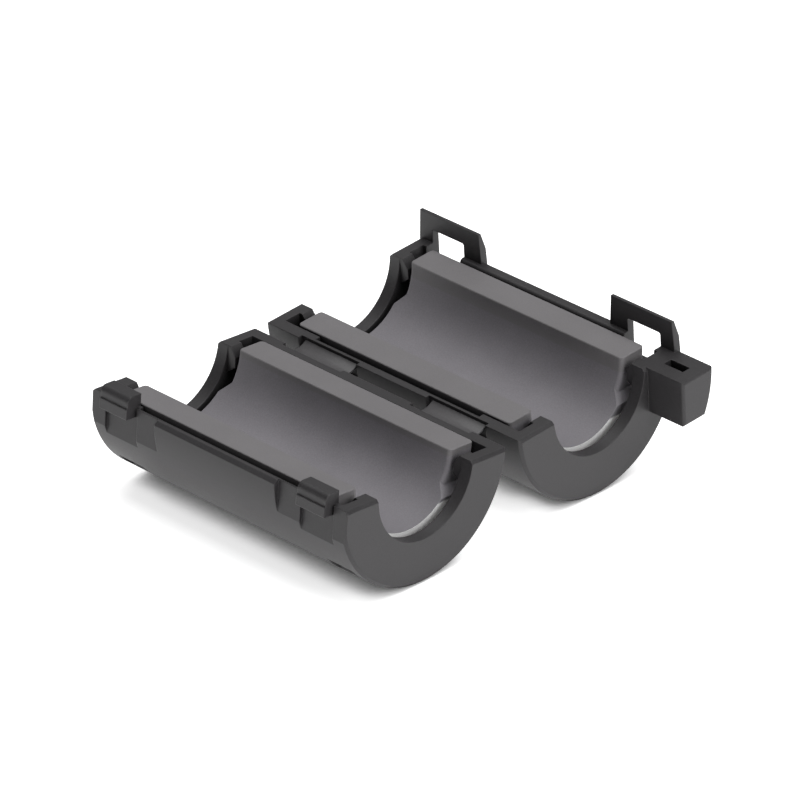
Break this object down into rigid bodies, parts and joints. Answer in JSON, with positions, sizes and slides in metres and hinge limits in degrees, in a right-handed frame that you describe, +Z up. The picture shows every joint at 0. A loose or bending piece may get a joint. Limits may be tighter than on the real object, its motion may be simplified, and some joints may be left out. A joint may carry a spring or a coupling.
{
  "type": "clip-on ferrite bead",
  "caption": "Open clip-on ferrite bead: two hinged half shells with latch loops and hooks, each holding a ferrite half core that closes round a cable.",
  "frame": {"origin": "on the surface that the open bead lies on, under the middle of its box", "axes": "+X along the cable towards the tie lug, +Y across from the hook half to the latch half, +Z up"},
  "size_m": [0.0398, 0.0471, 0.015],
  "materials": {
    "housing_plastic": "fine matte moulded nylon, charcoal",
    "ferrite": "dull sintered ferrite, dark grey"
  },
  "bodies": {
    "hook_half": {"hook_half_housing": "housing_plastic", "hook_half_core": "ferrite", "rear_hinge_strap": "housing_plastic", "front_hinge_strap": "housing_plastic"},
    "latch_half": {"latch_half_housing": "housing_plastic", "latch_half_core": "ferrite"}
  },
  "joints": [
    {"name": "fold", "type": "hinge", "parent": "hook_half", "child": "latch_half", "pos_m": [-0.00235, 0, 0.01032], "axis": [1, 0, 0], "range_deg": [-8, 172], "stiffness_Nm_per_rad": 0.02, "deforming": ["rear_hinge_strap", "front_hinge_strap"]}
  ]
}
